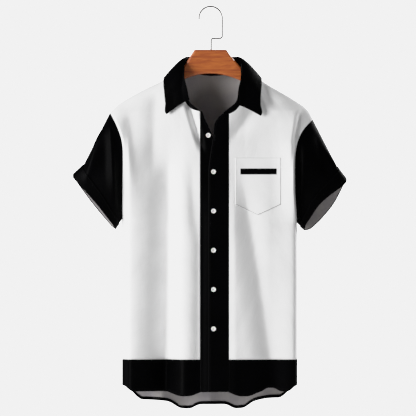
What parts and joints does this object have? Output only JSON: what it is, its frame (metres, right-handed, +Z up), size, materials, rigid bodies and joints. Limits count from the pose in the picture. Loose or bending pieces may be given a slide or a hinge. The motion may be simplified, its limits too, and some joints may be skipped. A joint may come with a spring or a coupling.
{
  "type": "short-sleeved button-up shirt on a wooden hanger",
  "caption": "Loose short-sleeved shirt with collar, button front, chest pocket and curved hem, in black and white blocks, hanging on a wooden hanger with a wire hook.",
  "frame": {"origin": "inside top of the hanger's hook, where a rail carries it", "axes": "+Z up, -Y out of the shirt's front, +X towards the wearer's left"},
  "size_m": [0.6899, 0.13, 1.0024],
  "materials": {
    "white_poplin": "matt white poplin",
    "black_poplin": "matt black poplin",
    "white_button": "polished white resin",
    "stained_wood": "orange-brown stain under satin lacquer",
    "bright_wire": "bright plated steel wire"
  },
  "bodies": {
    "root": {"back": "white_poplin", "band_button": "black_poplin", "band_buttonhole": "black_poplin", "button_1": "white_button", "button_2": "white_button", "button_3": "white_button", "button_4": "white_button", "button_5": "white_button", "button_6": "white_button", "collar_leaf": "black_poplin", "collar_stand": "black_poplin", "cuff_left": "black_poplin", "cuff_right": "black_poplin", "front_left": "white_poplin", "front_right": "white_poplin", "hanger_hook": "bright_wire", "hanger_wood": "stained_wood", "hem_back": "black_poplin", "hem_front_left": "black_poplin", "hem_front_right": "black_poplin", "pocket": "white_poplin", "pocket_bar": "black_poplin", "sleeve_left": "black_poplin", "sleeve_right": "black_poplin"}
  },
  "joints": []
}
